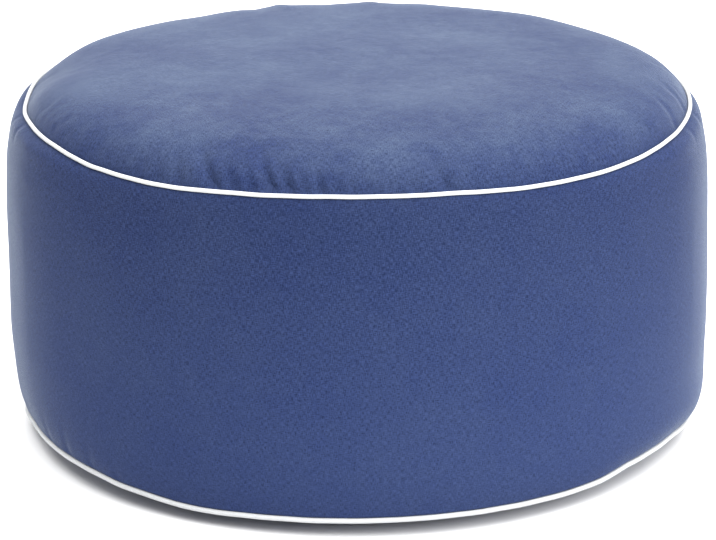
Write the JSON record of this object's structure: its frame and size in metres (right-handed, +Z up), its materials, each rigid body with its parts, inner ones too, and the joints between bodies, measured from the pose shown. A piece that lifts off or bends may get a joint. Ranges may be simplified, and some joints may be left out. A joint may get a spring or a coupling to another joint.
{
  "type": "inflatable pouf",
  "caption": "Round drum pouf blown up with air, with a crowned top panel, a slightly swollen side band and piping in both seams.",
  "frame": {"origin": "middle of the pouf's outline, on the surface it rests on", "axes": "+Z up, the front of the picture towards -Y, +X to the right of the picture"},
  "size_m": [0.5294, 0.5266, 0.2825],
  "materials": {
    "blue_weave": "mid blue woven fabric with a soft, short pile",
    "white_piping": "white woven piping"
  },
  "bodies": {
    "root": {"side_band": "blue_weave", "top_panel": "blue_weave", "bottom_panel": "blue_weave", "top_piping": "white_piping", "bottom_piping": "white_piping"}
  },
  "joints": []
}
